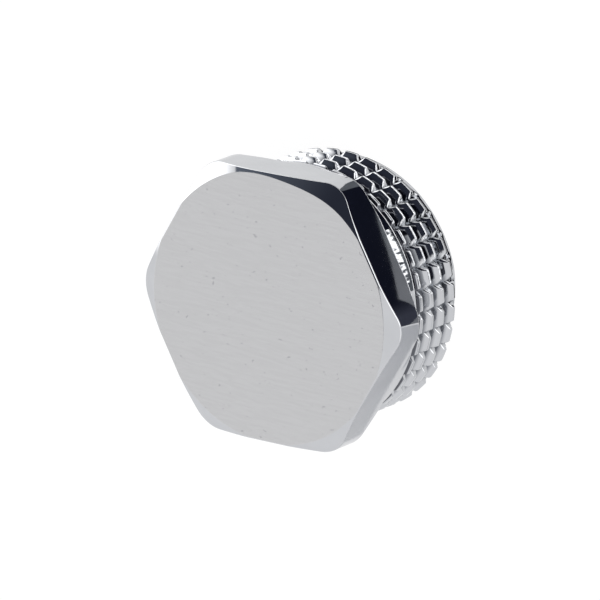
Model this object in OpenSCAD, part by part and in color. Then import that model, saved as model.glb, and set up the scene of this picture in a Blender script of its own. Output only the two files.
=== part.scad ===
/* [Head] */
// Width of the hexagon across its flats
hex_af = 27; // [26.5:0.5:30]
// Thickness of the hexagon
hex_h = 4.5; // [4:0.1:7]
// Radius of the polished upright corners of the hexagon
corner_r = 1.6; // [0.8:0.1:2.4]
// Diameter of the flat face inside the turned chamfer
face_d = 26.6; // [25:0.1:26.8]
// Diameter of the flat underside inside its turned chamfer
under_d = 28.4; // [27.5:0.1:29.5]
// Slope of both turned chamfers against the flat face
chamfer_angle = 25; // [15:1:35]

/* [Threaded shank] */
// Length from the end face to the underside of the hexagon
shank_h = 8.8; // [8.8:0.05:9]
// Major diameter of the pipe thread, over its crests
thread_d = 26.44; // [26.2:0.01:26.6]
// Pitch of the thread
pitch = 1.814; // [1.8:0.002:1.82]
// Length of the plain land between the hexagon and the groove
land_h = 1.1; // [0.8:0.05:1.1]
// Depth of the notches cut along the shank through every crest
notch_depth = 0.55; // [0.3:0.05:0.7]
// Depth of the lead-in chamfer below the crests, at the end face
lead_in = 1.15; // [1.05:0.05:1.15]

/* [Hollow] */
// Diameter of the blind hollow
hollow_d = 19; // [14:0.5:20]
// Depth of the blind hollow
hollow_h = 8.6; // [4:0.1:9.5]

/* [Hidden] */
ROUND = 180;
total_h = shank_h + hex_h;
hex_corner = hex_af / 2 / cos(30);

// Pipe thread of 55 degrees: a ridge with narrow flats at its crest and its root
FLANK = 27.5;
crest_r = thread_d / 2;
thread_depth = 0.6403 * pitch;
root_r = crest_r - thread_depth;
crest_half = pitch / 12;
base_half = crest_half + thread_depth * tan(FLANK);

// The notches divide each turn into cells of three stations: a notch and both its edges
NOTCHES = 36;
cell = 360 / NOTCHES;
notch_half = asin(notch_depth / crest_r);
turn = 3 * NOTCHES;
first_cell = -11;
last_cell = 119;
last = 3 * (last_cell - first_cell);

// Height of the crest over the end face where the helix passes +X for the first time
first_crest = 0.91;
// The ridge sinks into the groove below the land over its last five cells
fade = 15;
// The core runs past the end face and into the land, where it is cut or covered
stem = 0.5;

function angle_at(i) = (floor(i / 3) + first_cell) * cell + [0, notch_half, cell - notch_half][i % 3];
function on_ring(i, r, z) = [r * cos(angle_at(i)), r * sin(angle_at(i)), z];
function height(i) = thread_depth * min(1, (last - i) / fade);
function notch(i) = i % 3 == 0 ? min(notch_depth, height(i)) : 0;
function top_r(i, z) = i == 0 ? root_r : root_r + max(0.01, min(height(i), z - lead_in + thread_depth) - notch(i));

// Ridge at station i: foot, crest and foot again, from the end face up
function ridge(i) =
  let (z = first_crest + pitch * angle_at(i) / 360, sink = notch(i) * tan(FLANK))
  let (low = max(z - crest_half - sink, 0.13), high = z + crest_half + sink)
  [
    on_ring(i, root_r, max(z - base_half, 0.1)),
    on_ring(i, top_r(i, low), low),
    on_ring(i, top_r(i, high), high),
    on_ring(i, root_r, z + base_half)
  ];

function quad(a, b, c, d) = [[a, d, c], [a, c, b]];

// Helical ridge on its core, as one closed surface
module thread() {
  end_ring = 4 * (last + 1);
  land_ring = end_ring + turn;
  top_turn = last - turn;
  points = concat(
    [for (i = [0:last]) each ridge(i)],
    [for (i = [0:turn - 1]) on_ring(i, root_r, -stem)],
    [for (i = [0:turn - 1]) on_ring(top_turn + i, root_r, shank_h - land_h + stem)]
  );
  flanks = [
    for (i = [0:last - 1])
      for (k = [0:2])
        let (a = 4 * i + k)
          each quad(a, a + 4, a + 5, a + 1)
  ];
  roots = [
    for (i = [0:top_turn - 1])
      let (a = 4 * i, b = 4 * (i + turn))
        each quad(a + 3, a + 7, b + 4, b)
  ];
  below = [
    for (i = [0:turn - 2])
      each quad(end_ring + i, end_ring + i + 1, 4 * i + 4, 4 * i)
  ];
  above = [
    for (i = [1:turn - 1])
      let (a = 4 * (top_turn + i))
        each quad(a + 3, a + 7, land_ring + (i + 1) % turn, land_ring + i)
  ];
  seams = [
    [4 * turn - 4, 4 * turn, 3, 2, 1, 0, end_ring, end_ring + turn - 1],
    [
      4 * top_turn + 7, 4 * top_turn + 3, 4 * last, 4 * last + 1,
      4 * last + 2, 4 * last + 3, land_ring, land_ring + 1
    ]
  ];
  caps = [
    [for (i = [0:turn - 1]) end_ring + i],
    [for (i = [0:turn - 1]) land_ring + turn - 1 - i]
  ];
  polyhedron(points, concat(flanks, roots, below, above, seams, caps));
}

// Hexagon with rounded corners, its first flat facing +X
module hexagon_outline() {
  inner = hex_af / 2 - corner_r;
  side = 2 * inner * tan(30);
  rotate(30) circle(r = inner / cos(30), $fn = 6);
  for (k = [0:5]) rotate(60 * k) {
    translate([inner / 2, -side / 2]) square([inner / 2 + corner_r, side]);
    rotate(30) translate([inner / cos(30), 0]) circle(r = corner_r, $fn = ROUND);
  }
}

// Turned outline of the head, with a chamfer at the face and a slight one below
module head_turning() {
  slope = tan(chamfer_angle);
  rotate_extrude($fn = ROUND) polygon([
    [0, shank_h],
    [under_d / 2, shank_h],
    [hex_corner, shank_h + (hex_corner - under_d / 2) * slope],
    [hex_corner, total_h - (hex_corner - face_d / 2) * slope],
    [face_d / 2, total_h],
    [0, total_h]
  ]);
}

module head() {
  intersection() {
    translate([0, 0, shank_h]) linear_extrude(hex_h) hexagon_outline();
    head_turning();
  }
}

module plug() {
  color("silver") difference() {
    union() {
      head();
      translate([0, 0, shank_h - land_h]) cylinder(h = land_h + 1, d = thread_d, $fn = ROUND);
      thread();
    }
    translate([0, 0, -2 * stem]) cylinder(h = 2 * stem, d = 2 * hex_af, $fn = ROUND);
    translate([0, 0, -1]) cylinder(h = hollow_h + 1, d = hollow_d, $fn = ROUND);
  }
}

plug();
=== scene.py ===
import math
import bmesh
import bpy
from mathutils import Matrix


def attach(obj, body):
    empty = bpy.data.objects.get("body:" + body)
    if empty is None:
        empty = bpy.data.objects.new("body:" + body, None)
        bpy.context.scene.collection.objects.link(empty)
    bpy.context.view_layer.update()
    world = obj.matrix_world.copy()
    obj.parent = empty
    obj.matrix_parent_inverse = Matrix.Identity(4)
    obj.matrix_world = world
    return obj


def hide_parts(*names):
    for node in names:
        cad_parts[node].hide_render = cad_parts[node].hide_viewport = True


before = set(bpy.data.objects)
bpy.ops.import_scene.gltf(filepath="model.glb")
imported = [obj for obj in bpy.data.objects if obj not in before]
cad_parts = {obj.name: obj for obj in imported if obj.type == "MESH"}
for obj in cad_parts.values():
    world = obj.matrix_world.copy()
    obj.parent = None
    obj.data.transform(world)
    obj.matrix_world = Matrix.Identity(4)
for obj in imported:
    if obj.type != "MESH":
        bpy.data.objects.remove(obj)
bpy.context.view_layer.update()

# Head of the plug: a brass hexagon for a 27 mm spanner, its face turned flat
# with a 25 degree chamfer that reaches only the corners, and every edge rolled
# over a little by polishing before it was plated.
mm = 0.001
across_flats = 27.0
corner_radius = 3.1
head_height = 4.4
shank_height = 8.9
face_level = shank_height + head_height
face_radius = 13.55
underside_radius = 13.77
chamfer_slope = math.radians(25)
face_roll = 0.2
underside_roll = 0.15
flat_start = 0.04
land_radius = 13.18
land_height = 1.9
land_roll = 0.3
land_level = shank_height - land_height
# The face was turned a little off centre, so its chamfer is wider round this
# bearing in degrees, and the edges beside it are sharper.
wide_bearing = 51
wide_reach = 31
widening = 0.5
keen_reach = 38
keen_roll = 0.13
face_rings = (0, 4, 8, 12)


def hexagon_reach(turned):
    """Distance from the axis to the side of the hexagon, at a bearing in degrees."""
    off_flat = math.radians(abs((turned + 30) % 60 - 30))
    inner = across_flats / 2 - corner_radius
    half_side = inner * math.tan(math.pi / 6)
    if across_flats / 2 * math.tan(off_flat) <= half_side:
        return across_flats / 2 / math.cos(off_flat)
    centre = inner / math.cos(math.pi / 6)
    off_corner = math.pi / 6 - off_flat
    across = centre * math.sin(off_corner)
    return centre * math.cos(off_corner) + math.sqrt(corner_radius ** 2 - across ** 2)


def rolled_edge(reach, flat_radius, roll):
    """Reach and depth of each point from a flat end, over its chamfer, to the side."""
    side = reach - roll
    first = min(side, flat_radius - roll * math.tan(chamfer_slope / 2))
    side_depth = roll + (side - first) * math.tan(chamfer_slope)
    steep = math.pi / 2 - chamfer_slope
    over_the_face = [
        (first + roll * math.sin(lean), roll - roll * math.cos(lean))
        for lean in [chamfer_slope * step / 5 for step in range(6)]
    ]
    over_the_side = [
        (side + roll * math.sin(lean), side_depth - roll * math.cos(lean))
        for lean in [chamfer_slope + steep * step / 8 for step in range(9)]
    ]
    top, bottom = over_the_face[-1], over_the_side[0]
    run = (bottom[0] - top[0], bottom[1] - top[1])
    share = flat_start / max(3 * flat_start, math.hypot(*run))
    chamfer = [(top[0] + run[0] * part, top[1] + run[1] * part) for part in (share, 1 - share)]
    start = [(max(0, first - flat_start), 0)]
    return start + over_the_face + chamfer + over_the_side + [(reach, side_depth + flat_start)]


def rolled_sheet(mesh, section_at, turns):
    """Rolls a grid round the axis. section_at gives its reach and height, in mm, at each turn."""
    rows = len(section_at(turns[0]))
    columns = len(turns)
    grid = bmesh.ops.create_grid(mesh, x_segments=columns - 1, y_segments=rows - 1, size=1)
    strips = {}
    for point in grid["verts"]:
        strips.setdefault(round((point.co.x + 1) / 2 * (columns - 1)), []).append(point)
    for column, strip in strips.items():
        section = section_at(turns[column])
        bearing = math.radians(turns[column] % 360)
        for point in strip:
            reach, level = section[round((point.co.y + 1) / 2 * (rows - 1))]
            point.co = (
                reach * mm * math.cos(bearing),
                reach * mm * math.sin(bearing),
                level * mm,
            )


def head_section(turned):
    """Half section of the head and its land, from the middle of the face down."""
    reach = hexagon_reach(turned)
    off_wide = min(1, abs(turned - wide_bearing) / wide_reach)
    wide = math.cos(off_wide * math.pi / 2) ** 2
    keen = max(0, 1 - ((turned - wide_bearing) / keen_reach) ** 4)
    face = [(radius, face_level) for radius in face_rings]
    over = [
        (radius, face_level - depth)
        for radius, depth in rolled_edge(
            reach, face_radius - widening * wide, face_roll - keen_roll * keen
        )
    ]
    under = [
        (radius, shank_height + depth)
        for radius, depth in rolled_edge(reach, underside_radius, underside_roll)
    ]
    leans = [math.radians(lean) for lean in (0, 10, 20, 30, 45, 60, 90)]
    land = [(land_radius, shank_height), (land_radius, land_level + land_roll + flat_start)]
    land += [
        (
            land_radius - land_roll + land_roll * math.cos(lean),
            land_level + land_roll - land_roll * math.sin(lean),
        )
        for lean in leans
    ]
    return face + over + under[::-1] + land


plug_mesh = bmesh.new()
half_degrees = [step / 2 for step in range(721)]
rolled_sheet(plug_mesh, head_section, half_degrees)

# Thread: a right-hand pipe thread of 14 turns an inch cut on the shank, then
# crossed by 36 V notches along the axis that give hemp or tape a grip. It
# starts at a plain rim round the end face and runs up against the land.
thread_reach = 13.18
thread_pitch = 1.814
thread_depth = 0.6403 * thread_pitch
root_reach = thread_reach - thread_depth
flank = math.radians(27.5)
crest_half = thread_pitch / 12
foot_half = crest_half + thread_depth * math.tan(flank)
first_crest = 0.91
lead_in = 0.12
notch_reach = 0.45
notch_step = 10
notch_depth = 0.55
notch_slope = 1.2
notch_edge = math.degrees(math.asin(notch_depth / notch_slope / thread_reach))
# The plain rim left below the first turn, between these bearings in degrees
rim_drop = 0.06
rim_taper = 0.15
rim_start = -60
rim_start_fade = 45
rim_end = 130
rim_end_fade = 110
edge_roll = 0.05
seam_width = 0.2
seam_slope = 1.2
rim_reach = land_radius - land_roll - 0.05
first_turn = -370
last_turn = 1430


def sunk(height, floor):
    """The lower of two heights, with the edge where they meet rolled over."""
    return (height + floor - math.hypot(height - floor, edge_roll) + edge_roll / 8) / 2


def ridge_section():
    """Offset along the axis and height over the root, for one pitch of the thread."""
    lean = math.tan(flank)
    half = [(0, thread_depth), (crest_half - edge_roll, thread_depth)]
    half += [(crest_half, thread_depth - edge_roll / 4)]
    half += [
        (crest_half + depth * lean, thread_depth - depth)
        for depth in (1.3 * edge_roll, 0.3, 0.55, 0.8, thread_depth - 2 * edge_roll)
    ]
    half += [(foot_half + edge_roll, 0), (thread_pitch / 2, 0)]
    return [(-offset, height) for offset, height in reversed(half)] + half[1:]


ridge = ridge_section()


def below_first_turn(turned, level):
    """How far a point lies below the crest nearest the end face, and its bearing."""
    bearing = turned + 360 if turned < -180 else turned
    return first_crest + thread_pitch * bearing / 360 - level, bearing


def rim_height(turned, level):
    """Height of the plain rim that the first groove leaves at the end face."""
    below, bearing = below_first_turn(turned, level)
    share = min(1, (rim_end - bearing) / rim_end_fade, (bearing - rim_start) / rim_start_fade)
    if below < 0 or share < 0:
        return 0
    return share * (thread_depth - rim_drop - rim_taper * below)


def thread_section(turned):
    """One pitch of the ridge where the helix has turned so far, sunk in the notches."""
    middle = first_crest + thread_pitch * turned / 360
    off_notch = math.radians(abs((turned + notch_step / 2) % notch_step - notch_step / 2))
    notch_floor = thread_depth - notch_depth + notch_slope * thread_reach * math.sin(off_notch)
    points = []
    for offset, full_height in ridge:
        level = middle + offset
        height = max(full_height, rim_height(turned, level))
        below, bearing = below_first_turn(turned, level)
        end = notch_slope * max(0, below - notch_reach) if bearing < 180 else 0
        if height > 0:
            height = max(0, min(height, sunk(height, notch_floor + end)))
        seam = seam_slope * max(0, land_level - seam_width - level)
        under_land = rim_reach - root_reach + seam
        height = min(height, under_land, max(0, thread_depth - lead_in + level))
        points.append((root_reach + height, level))
    return points


# Columns of the grid in each cell, in degrees from the middle of its notch
notch_columns = (0, 0.2, 1.0, 1.7, notch_edge, 2.4, 3.4)
cell_columns = sorted({sign * column for column in notch_columns for sign in (1, -1)})
cell_columns.append(notch_step / 2)
weld = 0.002 * mm
snap = 0.0005 * mm
thread_turns = [
    cell + column
    for cell in range(first_turn, last_turn, notch_step)
    for column in cell_columns
]
thread_mesh = bmesh.new()
rolled_sheet(thread_mesh, thread_section, thread_turns + [last_turn])
bmesh.ops.remove_doubles(thread_mesh, verts=thread_mesh.verts, dist=weld)
for cut_level, inwards in ((0, 1), (land_level, -1)):
    bmesh.ops.bisect_plane(
        thread_mesh,
        geom=thread_mesh.verts[:] + thread_mesh.edges[:] + thread_mesh.faces[:],
        dist=snap,
        plane_co=(0, 0, cut_level * mm),
        plane_no=(0, 0, inwards),
        clear_inner=True,
    )
thread_data = bpy.data.meshes.new("thread")
thread_mesh.to_mesh(thread_data)
thread_mesh.free()
plug_mesh.from_mesh(thread_data)
bpy.data.meshes.remove(thread_data)

# Hollow: the blind recess bored up the threaded end, which saves brass and
# keeps the wall even. The photograph doesn't show it, and it is left plain.
hollow_radius = 9.5
hollow_depth = 8.6
mouth_chamfer = 0.2
bottom_roll = 0.4
hollow_section = [
    (hollow_radius + mouth_chamfer, 0),
    (hollow_radius, mouth_chamfer),
    (hollow_radius, hollow_depth / 2),
    (hollow_radius, hollow_depth - bottom_roll),
    (hollow_radius - 0.3 * bottom_roll, hollow_depth - 0.3 * bottom_roll),
    (hollow_radius - bottom_roll, hollow_depth),
    (hollow_radius / 2, hollow_depth),
    (0, hollow_depth),
]
rolled_sheet(plug_mesh, lambda turned: hollow_section, half_degrees)
bmesh.ops.remove_doubles(plug_mesh, verts=plug_mesh.verts, dist=weld)

# Plug body: the flat rings of the end face and of the land's lower face join
# the three skins, because the plug is one turned and milled piece of brass.
for face in plug_mesh.faces:
    face.smooth = True
for ring_level in (0, land_level):
    rims = [
        edge
        for edge in plug_mesh.edges
        if edge.is_boundary
        and all(abs(point.co.z - ring_level * mm) < 5 * weld for point in edge.verts)
    ]
    bmesh.ops.triangle_fill(plug_mesh, edges=rims, use_beauty=True, normal=(0, 0, -1))
bmesh.ops.dissolve_degenerate(plug_mesh, edges=plug_mesh.edges, dist=snap)
bmesh.ops.recalc_face_normals(plug_mesh, faces=plug_mesh.faces)
sharp_edge = math.radians(40)
for edge in plug_mesh.edges:
    edge.smooth = edge.calc_face_angle(0) < sharp_edge
plug_data = bpy.data.meshes.new("plug_body")
plug_mesh.to_mesh(plug_data)
plug_mesh.free()
plug = bpy.data.objects.new("plug_body", plug_data)
bpy.context.scene.collection.objects.link(plug)


class NodeBench:
    """Adds nodes to one material or world and links them, so that a look reads as a list."""

    def __init__(self, owner):
        owner.use_nodes = True
        self.tree = owner.node_tree

    def put(self, kind, settings=(), **inputs):
        """One node: settings are its properties, inputs its sockets by name, or i and number."""
        node = self.tree.nodes.new(kind)
        for name, value in dict(settings).items():
            setattr(node, name, value)
        for name, value in inputs.items():
            numbered = name[0] == "i" and name[1:].isdigit()
            self.feed(node.inputs[int(name[1:]) if numbered else name], value)
        return node

    def feed(self, socket, value):
        """Links an output to the socket, or writes a plain value in it."""
        if isinstance(value, bpy.types.NodeSocket):
            self.tree.links.new(value, socket)
        else:
            socket.default_value = value

    def step(self, value, start, end, low=0.0, high=1.0):
        """A smooth step from low to high as the value goes from start to end."""
        ramp = self.put("ShaderNodeMapRange", {"interpolation_type": "SMOOTHSTEP"}, Value=value)
        levels = {"From Min": start, "From Max": end, "To Min": low, "To Max": high}
        for name, level in levels.items():
            ramp.inputs[name].default_value = level
        return ramp.outputs["Result"]

    def math(self, operation, first, second=0.0):
        """One sum of two values."""
        return self.put("ShaderNodeMath", {"operation": operation}, i0=first, i1=second).outputs[0]

    def mix(self, factor, first, second):
        """A colour between two colours."""
        blend = self.put("ShaderNodeMix", {"data_type": "RGBA"}, i0=factor, i6=first, i7=second)
        return blend.outputs[2]

    def noise(self, place, scale, stretch, detail=2.0, turned=0.0):
        """Noise of a scale per metre, stretched along each axis and turned about the plug's."""
        turn = self.put("ShaderNodeMapping", Vector=place)
        turn.inputs["Rotation"].default_value = (0, 0, math.radians(turned))
        squeeze = self.put("ShaderNodeMapping", Vector=turn.outputs[0])
        squeeze.inputs["Scale"].default_value = stretch
        squeezed = squeeze.outputs[0]
        speckle = self.put("ShaderNodeTexNoise", Vector=squeezed, Scale=scale, Detail=detail)
        return speckle.outputs["Fac"]


# Chrome plate: bright chrome over polished brass, with faint lengthwise lines
# from the polishing belt. The turned face was brushed on a flat belt and is
# satin, with fine straight lines and a few specks.
chrome = bpy.data.materials.new("chrome_plate")
bench = NodeBench(chrome)
plate = bench.tree.nodes["Principled BSDF"]
place = bench.put("ShaderNodeTexCoord").outputs["Object"]
across, along, up = bench.put("ShaderNodeSeparateXYZ", Vector=place).outputs
on_face = bench.step(up, (face_level - 0.03) * mm, (face_level - 0.004) * mm)
brushing = 33
belt_lines = bench.noise(place, 9000, (0.04, 0.04, 1), 3)
brushed_lines = bench.noise(place, 5000, (0.09, 1, 1), 4, brushing)
clouds = bench.noise(place, 350, (1, 1, 1), 3)
specks = bench.step(bench.noise(place, 2600, (1, 1, 1), 1), 0.72, 0.76)
squares = bench.math("ADD", bench.math("POWER", across, 2.0), bench.math("POWER", along, 2.0))
reach = bench.math("SQRT", squares)
# Painted shade: the chrome is darkened in the deepest parts of the thread's grooves below the
# land, where shade falls.
groove_shade_mask = bench.step(reach, 12.9 * mm, 12.4 * mm)
below_land = bench.step(up, (land_level + 0.1) * mm, land_level * mm)
groove_shade_mask = bench.math("MULTIPLY", groove_shade_mask, below_land)
bright_tones = (0.59, 0.6, 0.62, 1), (0.62, 0.63, 0.65, 1)
# Colours of the painted shade in the grooves and in the gap under the land.
groove_shade_colour = (0.22, 0.23, 0.25, 1)
gap_shade_colour = (0.12, 0.125, 0.14, 1)
bright = bench.mix(bench.step(clouds, 0.3, 0.7), *bright_tones)
bright = bench.mix(groove_shade_mask, bright, groove_shade_colour)
# Painted shade: the chrome is darkened nearly black in the groove just under the land, between it
# and the top turn of the thread.
gap_shade_mask = bench.step(reach, 13.12 * mm, 13.0 * mm)
gap_shade_mask = bench.math("MULTIPLY", gap_shade_mask, bench.step(up, 6.15 * mm, 6.25 * mm))
gap_shade_mask = bench.math("MULTIPLY", gap_shade_mask, bench.step(up, (land_level + 0.03) * mm, land_level * mm))
bright = bench.mix(gap_shade_mask, bright, gap_shade_colour)
satin_tones = (0.6, 0.6, 0.605, 1), (0.629, 0.629, 0.634, 1)
speck_tone = (0.5, 0.5, 0.51, 1)
satin = bench.mix(bench.step(brushed_lines, 0.35, 0.65), *satin_tones)
satin = bench.mix(specks, satin, speck_tone)
bench.feed(plate.inputs["Base Color"], bench.mix(on_face, bright, satin))
plate.inputs["Metallic"].default_value = 1.0
mirror_roughness = bench.step(clouds, 0.3, 0.8, 0.035, 0.07)
satin_roughness = bench.step(brushed_lines, 0.3, 0.7, 0.22, 0.26)
off_face = bench.math("SUBTRACT", 1.0, on_face)
roughness = bench.math(
    "ADD",
    bench.math("MULTIPLY", on_face, satin_roughness),
    bench.math("MULTIPLY", off_face, mirror_roughness),
)
bench.feed(plate.inputs["Roughness"], roughness)
line_depth = 0.01 * mm
lines = bench.put("ShaderNodeBump", Strength=0.06, Distance=line_depth, Height=belt_lines)
brush = bench.put("ShaderNodeBump", Distance=line_depth, Height=brushed_lines)
bench.feed(brush.inputs["Strength"], bench.math("MULTIPLY", on_face, 0.14))
bench.feed(brush.inputs["Normal"], lines.outputs[0])
bench.feed(plate.inputs["Normal"], brush.outputs[0])
plug_data.materials.append(chrome)
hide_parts("plug")
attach(plug, "root")


def staged(name, corners, level):
    """A flat sheet of the studio with these corners, in mm."""
    mesh = bmesh.new()
    sheet = bmesh.ops.create_circle(mesh, cap_ends=True, segments=len(corners), radius=1)
    for point, corner in zip(sheet["verts"], corners):
        point.co = (corner[0] * mm, corner[1] * mm, level * mm)
    bmesh.ops.recalc_face_normals(mesh, faces=mesh.faces)
    data = bpy.data.meshes.new(name)
    mesh.to_mesh(data)
    mesh.free()
    made = bpy.data.objects.new(name, data)
    bpy.context.scene.collection.objects.link(made)
    return made


# Floor: a wide sheet of matt white paper. The camera and the chrome see it
# near white, and it keeps the plug's soft shadow.
far = 3000
floor = staged("floor", [(far, -far), (far, far), (-far, far), (-far, -far)], 0)
paper = bpy.data.materials.new("white_paper")
bench = NodeBench(paper)
matt = bench.tree.nodes["Principled BSDF"]
matt.inputs["Base Color"].default_value = (0.9, 0.9, 0.9, 1)
matt.inputs["Roughness"].default_value = 0.9
ray = bench.put("ShaderNodeLightPath")
in_mirror = bench.math("ADD", ray.outputs["Is Glossy Ray"], ray.outputs["Is Transmission Ray"])
to_camera = bench.math("MULTIPLY", ray.outputs["Is Camera Ray"], 0.84)
share = bench.math("ADD", to_camera, bench.math("MULTIPLY", in_mirror, 0.62))
glow = bench.put("ShaderNodeEmission", Color=(1, 1, 1, 1), Strength=1.1)
both = bench.put("ShaderNodeMixShader", i0=share, i1=matt.outputs[0], i2=glow.outputs[0])
bench.feed(bench.tree.nodes["Material Output"].inputs["Surface"], both.outputs[0])
floor.data.materials.append(paper)

# Flags: dark, grey and white cards laid on the paper round the plug, two of them glowing in ragged
# patches as painted glints. None is seen by the camera, lights anything or casts a shadow; only
# their mirror image shows, as painted reflections in the nearest flat, in the land and in the
# thread.
def card_cloth_and_glow(name, near, far, along_from, along_to, glow=0.0):
    """Matt cloth whose colour changes along the y axis of the paper, in mm, glowing in ragged
    patches at the glow strength for painted glints.
    """
    cloth = bpy.data.materials.new(name)
    bench = NodeBench(cloth)
    matt = bench.tree.nodes["Principled BSDF"]
    place = bench.put("ShaderNodeTexCoord").outputs["Object"]
    along = bench.put("ShaderNodeSeparateXYZ", Vector=place).outputs["Y"]
    part = bench.step(along, along_from * mm, along_to * mm)
    bench.feed(matt.inputs["Base Color"], bench.mix(part, near, far))
    matt.inputs["Roughness"].default_value = 1.0
    matt.inputs["Specular IOR Level"].default_value = 0.0
    matt.inputs["Emission Color"].default_value = (1, 1, 1, 1)
    ragged_glint_glow = bench.step(bench.noise(place, 1300, (1, 1, 1), 4), 0.42, 0.5, 0.0, glow)
    bench.feed(matt.inputs["Emission Strength"], ragged_glint_glow)
    return cloth


slate = (0.075, 0.08, 0.11, 1)
black = (0.012, 0.014, 0.026, 1)
grey = (0.2, 0.215, 0.235, 1)
pale_grey = (0.34, 0.35, 0.37, 1)
off_white = (0.88, 0.89, 0.91, 1)
white = (1.0, 1.0, 1.0, 1)
# The way from the plug to the camera
view = (0.6176, -0.0287, 0.786)


def sector(inner, inner_bearings, outer, outer_bearings):
    """Outline of a piece of a ring, along its inner edge and back along its outer edge."""
    return [
        (radius * math.cos(math.radians(bearing)), radius * math.sin(math.radians(bearing)))
        for radius, bearings in ((inner, inner_bearings), (outer, outer_bearings))
        for bearing in bearings
    ]


def mirrored(bearing, level):
    """The place on the paper that the camera sees in the land at this bearing and height."""
    out = (math.cos(math.radians(bearing)), math.sin(math.radians(bearing)))
    facing = view[0] * out[0] + view[1] * out[1]
    return [
        land_radius * out[i] + (2 * facing * out[i] - view[i]) * level / view[2] for i in (0, 1)
    ]


def strip(low_level, high_level, bearings):
    """Outline of a card whose mirror image lies between two heights of the land."""
    near = [mirrored(bearing, low_level) for bearing in bearings]
    return near + [mirrored(bearing, high_level) for bearing in reversed(bearings)]


grey_outline = [
    (17.2, -9), (18, -12), (28, -12), (28, 16), (15, 16),
    (13.6, 13), (15.4, 10), (17.6, 6.4), (18.4, 2), (18.2, -4),
]
black_outline = [
    (20.2, -12), (20.6, -5.4), (21.1, -4.8), (22.1, -4.0), (21.7, -2.5), (21.25, -0.7),
    (20.95, 1.1), (20.8, 3.0), (20.5, 4.6), (18.2, 11.5), (19.5, 15.5), (30, 15), (28, -12),
]
side_outline = [
    (30, -12.6), (19, -12.6), (12, -13.6), (7.5, -15.8),
    (-1.6, -21.1), (-14, -28), (-14, -60), (30, -60),
]
far_ring = sector(25, range(8, 81, 12), 90, range(80, 7, -24))
rim_ring = sector(13.15, range(-30, 111, 5), 13.65, range(110, -31, -5))
band_outline = strip(6.3, 8.9, range(-18, 43, 4))
glint_outline = strip(7.4, 9.0, range(-14, 11, 4))
gleam_outline = strip(2.5, 6.4, range(-20, 61, 5))
# Each card's name, height in mm, outline and cloth
cards = (
    ("far_card", 0.05, far_ring, (black, slate, 10, 40)),
    ("side_card", 0.05, side_outline, (white, off_white, -24, -15)),
    ("grey_card", 0.1, grey_outline, (pale_grey, grey, -4, 5)),
    ("black_card", 0.15, black_outline, (slate, black, -6, -4)),
    ("band_card", 0.18, band_outline, (grey, black, -2, 4)),
    ("glint_card", 0.2, glint_outline, (grey, grey, 0, 1, 2.2)),
    ("gleam_card", 0.07, gleam_outline, (white, white, 0, 1, 1.5)),
    ("rim_card", 0.05, rim_ring, (black, black, 0, 1)),
)
for name, level, corners, cloth in cards:
    card = staged(name, corners, level)
    card.visible_camera = False
    card.visible_diffuse = False
    card.visible_transmission = False
    card.visible_shadow = False
    card.data.materials.append(card_cloth_and_glow(name, *cloth))

# Studio: a pale tent all round, brighter low down on the far left and in front,
# with one wide dark opening above that blackens the chamfer and the flanks.
studio = bpy.data.worlds.new("studio")
bpy.context.scene.world = studio
bench = NodeBench(studio)
sky = bench.tree.nodes["Background"]
way = bench.put("ShaderNodeTexCoord").outputs["Generated"]
across, along, up = bench.put("ShaderNodeSeparateXYZ", Vector=way).outputs
far_side = bench.math("ADD", along, bench.math("MULTIPLY", across, 0.25))
far_side = bench.step(far_side, 0.08, 0.18)
near_side = bench.math("MULTIPLY", bench.step(across, 0.3, 0.5), bench.step(along, 0.5, 0.3))
under_corner = bench.math("MULTIPLY", bench.step(along, -0.4, -0.5), bench.step(up, 0.44, 0.36))
near_side = bench.math("MULTIPLY", near_side, bench.math("SUBTRACT", 1.0, under_corner))
low_band = bench.math("MULTIPLY", far_side, bench.step(across, 0.2, -0.05))
low_band = bench.math("MAXIMUM", low_band, near_side)
low_band = bench.math("MULTIPLY", low_band, bench.step(up, 0.62, 0.46))
lift = bench.math("SUBTRACT", up, bench.math("MULTIPLY", across, 0.45))
left_glow = bench.step(across, -0.2, -0.27)
left_glow = bench.math("MULTIPLY", left_glow, bench.step(lift, 0.795, 0.77))
opening = bench.step(along, -0.16, -0.11)
opening = bench.math("MULTIPLY", opening, bench.step(across, -0.46, -0.435))
opening = bench.math("MULTIPLY", opening, bench.step(up, 0.5, 0.55))
opening = bench.math("MULTIPLY", opening, bench.math("SUBTRACT", 1.0, left_glow))
left_glow = bench.math("MULTIPLY", bench.math("MULTIPLY", left_glow, far_side), 0.6)
low_band = bench.math("MAXIMUM", low_band, left_glow)
cloth_tone = (0.93, 0.93, 0.94, 1)
band_tone = (2.3, 2.3, 2.3, 1)
dark_tones = (0.16, 0.18, 0.22, 1), (0.03, 0.034, 0.05, 1)
tent = bench.mix(low_band, cloth_tone, band_tone)
around = bench.mix(opening, tent, bench.mix(bench.step(across, -0.45, 0.05), *dark_tones))
to_camera = bench.put("ShaderNodeLightPath").outputs["Is Camera Ray"]
bench.feed(sky.inputs["Color"], bench.mix(to_camera, around, (1, 1, 1, 1)))

# Camera: a long lens about a metre away, which looks down on the face at the
# photograph's angle and is rolled until the axis leans as it does there.
camera_data = bpy.data.cameras.new("camera")
camera_data.lens = 651.5
camera_data.sensor_width = 36
camera_data.clip_end = 20
camera = bpy.data.objects.new("camera", camera_data)
bpy.context.scene.collection.objects.link(camera)
camera.location = (0.64867, -0.03048, 0.83378)
camera.rotation_euler = [math.radians(lean) for lean in (-15.9357, 35.174, -29.0229)]
bpy.context.scene.camera = camera
bpy.context.scene.view_settings.view_transform = "Standard"
